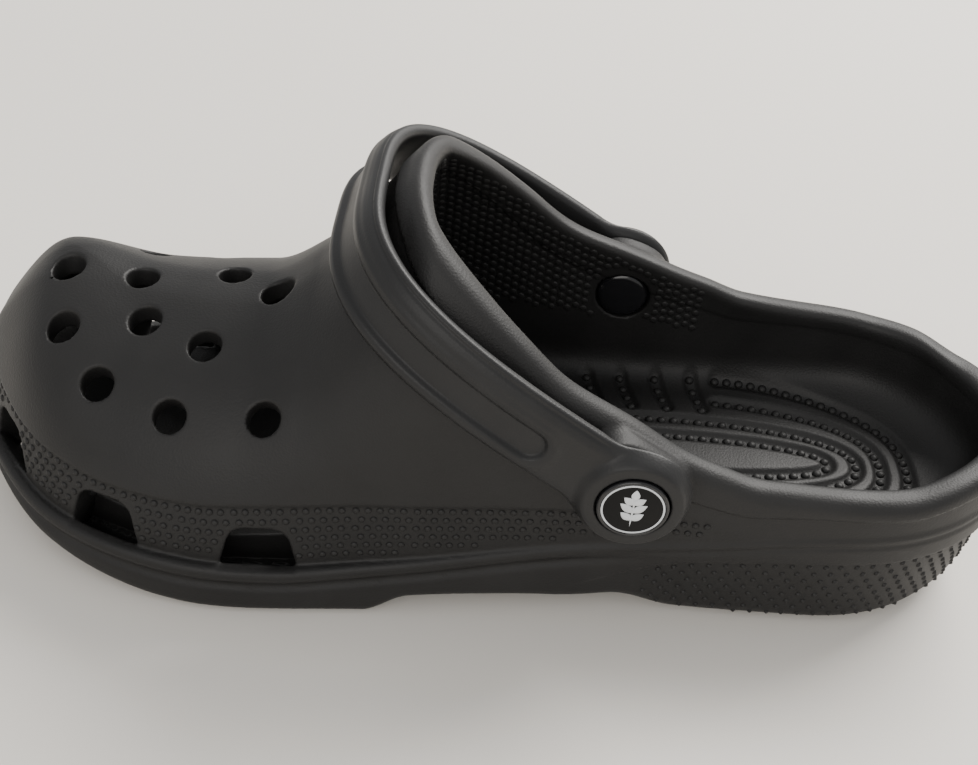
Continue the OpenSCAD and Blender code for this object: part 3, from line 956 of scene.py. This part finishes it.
SIDES = ((-1, "lateral"), (1, "medial"))


def rivets():
    """Snap rivets: a cap with its shank outside, a flat back inside."""
    for side, where in SIDES:
        rim = CAP_FACE + CAP_THICKNESS
        cap = [(0, SHANK_END), (SHANK_RADIUS, SHANK_END), (SHANK_RADIUS, 45), (SHANK_RADIUS, CAP_FACE),
               (CAP_RADIUS - 0.4, CAP_FACE), (CAP_RADIUS, CAP_FACE + 0.3)]
        cap += fillet((CAP_RADIUS, rim - 1.2), (CAP_RADIUS, rim), (CAP_RADIUS - 0.7, rim))
        floor = rim - BADGE_DEPTH
        cap += [(BADGE_RADIUS + 0.1, rim - 0.1), (BADGE_RADIUS + 0.05, floor), (0, floor)]
        piece = lathe("rivet_cap_" + where + "_moulding", cap, side)
        finish(piece, RIVET_BLACK, "rivet_" + where, "rivet_black", "rivet_cap_" + where)
        back = [(0, BACK_FACE)]
        back += fillet((BACK_RADIUS - 2.2, BACK_FACE + 0.05), (BACK_RADIUS, BACK_FACE + 0.2),
                       (BACK_RADIUS, BACK_FACE + 2.1))
        back += [(BACK_RADIUS, BACK_SEAT), (SHANK_RADIUS + 0.05, BACK_SEAT), (0, BACK_SEAT)]
        piece = lathe("rivet_back_" + where + "_moulding", back, side)
        finish(piece, RIVET_BLACK, "rivet_" + where, "rivet_black", "rivet_back_" + where)


def badges():
    """Black discs with a pale ring and a plain sprig of leaves."""
    edge = BADGE_RADIUS - 0.05
    for side, where in SIDES:
        face = [(0, BADGE_FACE - BADGE_THICKNESS), (edge, BADGE_FACE - BADGE_THICKNESS)]
        face += fillet((edge, BADGE_FACE - 0.15), (edge, BADGE_FACE), (BADGE_RADIUS - 0.2, BADGE_FACE), 3)
        face += [(0, BADGE_FACE)]
        piece = lathe("badge_disc_" + where + "_face", face, side)
        finish(piece, BADGE_BLACK, "rivet_" + where, "badge_print", "badge_disc_" + where)
        foot, top = BADGE_FACE + PRINT_FOOT, BADGE_FACE + PRINT_TOP
        ring = [(RING_INNER, foot), (RING_INNER + 0.05, top), (RING_OUTER - 0.05, top), (RING_OUTER, foot)]
        piece = ring_mesh("badge_ring_" + where, ring, side)
        finish(piece, BADGE_PALE, "rivet_" + where, "badge_print")
        piece = sprig("badge_sprig_" + where, side)
        finish(piece, BADGE_PALE, "rivet_" + where, "badge_print")


def ring_mesh(name, profile, side, sides=96):
    """A closed ring round the rivet axis from a closed profile."""
    angles = 2 * np.pi * np.arange(sides) / sides
    n = len(profile)
    points = [turned(r, a, y, side) for a in angles for r, y in profile]
    faces = []
    for a in range(sides):
        here, there = a * n, (a + 1) % sides * n
        faces += [[here + k, here + (k + 1) % n, there + (k + 1) % n, there + k] for k in range(n)]
    faces = np.array(faces)
    return new_object(name, np.array(points), faces[:, ::-1] if side > 0 else faces)


def sprig(name, side):
    """A stem with pairs of pointed leaves, each a low domed plate."""
    points, faces = [], []
    # Across a leaf, as (part of the half width, height over the badge's face)
    section = ((-1, PRINT_FOOT), (-0.9, PRINT_TOP), (0, 0.1), (0.9, PRINT_TOP), (1, PRINT_FOOT))
    across = len(section)

    def leaf(u, v, angle, length, width):
        """One leaf from its stalk at (u, v), pointing along an angle."""
        steps = 10
        t = np.linspace(0, 1, steps + 1)
        half = width * np.sin(np.pi * t ** 0.8) ** 0.9
        along_u, along_v = math.cos(angle), math.sin(angle)
        base = len(points)
        for k in range(steps + 1):
            cu, cv = u + length * t[k] * along_u, v + length * t[k] * along_v
            for edge, height in section:
                pu, pv = cu - edge * half[k] * along_v, cv + edge * half[k] * along_u
                points.append([RIVET_X + side * pu, side * (BADGE_FACE + height), RIVET_Z + pv])
        for k in range(steps):
            for e in range(across - 1):
                a = base + k * across + e
                faces.append([a, a + 1, a + across + 1, a + across])

    leaf(0, -5.6, math.pi / 2, 10.6, 0.28)
    for v, length in ((-3.4, 3.6), (-0.9, 4.2), (1.6, 3.4)):
        for turn in (math.radians(38), math.radians(142)):
            leaf(0, v, turn, length, 1.15)
    leaf(0, 3.0, math.pi / 2, 3.4, 1.1)
    faces = np.array(faces)
    return new_object(name, np.array(points), faces if side > 0 else faces[:, ::-1])


# ---------------------------------------------------------------- floor, light and camera
def stage():
    """Plain pale floor."""
    bpy.ops.mesh.primitive_plane_add(size=60, location=(0, 0, 0))
    floor = bpy.context.object
    floor.name = "floor"
    material, nodes, links, shader = new_material("floor")
    mottle = texture(nodes, links, nodes.new("ShaderNodeTexCoord"), "Noise", 3, 2)
    tones(nodes, links, shader, mottle, (0.74, 0.70, 0.64), (0.80, 0.77, 0.72))
    shader.inputs["Roughness"].default_value = 0.75
    floor.data.materials.append(material)


def soft_light(name, place, aim, size, power, colour):
    """A rectangular lamp facing a point."""
    lamp = bpy.data.lights.new(name, "AREA")
    lamp.shape = "RECTANGLE"
    lamp.size, lamp.size_y = size
    lamp.energy = power
    lamp.color = colour
    holder = bpy.data.objects.new(name, lamp)
    holder.location = place
    holder.rotation_euler = (Vector(aim) - Vector(place)).to_track_quat("-Z", "Y").to_euler()
    bpy.context.scene.collection.objects.link(holder)


def lights():
    """A window behind the clog, a weaker bounce from the room, and an even sky."""
    soft_light("window", (0.75, 0.9, 1.1), (0, 0, 0.03), (1.1, 0.8), 46, (1.0, 0.975, 0.94))
    soft_light("room", (-0.3, -1.5, 1.0), (0, 0, 0.03), (1.4, 1.0), 12, (1.0, 0.96, 0.91))
    world = bpy.data.worlds.new("room")
    world.use_nodes = True
    world.node_tree.nodes["Background"].inputs["Color"].default_value = (0.93, 0.93, 0.93, 1)
    world.node_tree.nodes["Background"].inputs["Strength"].default_value = 0.84
    bpy.context.scene.world = world


# Heading, downward tilt and roll in degrees, place in metres, lens and sensor in millimetres
CAMERA_TURNS = (-1.64, 38.04, 7.25)
CAMERA_PLACE = (-0.0079, -0.2992, 0.2765)
CAMERA_LENS, CAMERA_SENSOR = 50.5, 36


def camera():
    """Standing over the outer side, close to the middle of the clog's length."""
    yaw, pitch, roll = (math.radians(a) for a in CAMERA_TURNS)
    ahead = Vector((-math.sin(yaw) * math.cos(pitch), math.cos(yaw) * math.cos(pitch), -math.sin(pitch)))
    level = Vector((math.cos(yaw), math.sin(yaw), 0))
    upright = level.cross(ahead)
    right = math.cos(roll) * level + math.sin(roll) * upright
    up = math.cos(roll) * upright - math.sin(roll) * level
    lens = bpy.data.cameras.new("camera")
    lens.lens, lens.sensor_width = CAMERA_LENS, CAMERA_SENSOR
    holder = bpy.data.objects.new("camera", lens)
    turn = Matrix((right, up, -ahead)).transposed().to_4x4()
    holder.matrix_world = Matrix.Translation(CAMERA_PLACE) @ turn
    bpy.context.scene.collection.objects.link(holder)
    bpy.context.scene.camera = holder


camera()
stage()
lights()
shell()
strap()
rand_dots()
heel_studs()
tread_lugs()
footbed_nubs()
throat_pebbles()
rivets()
badges()
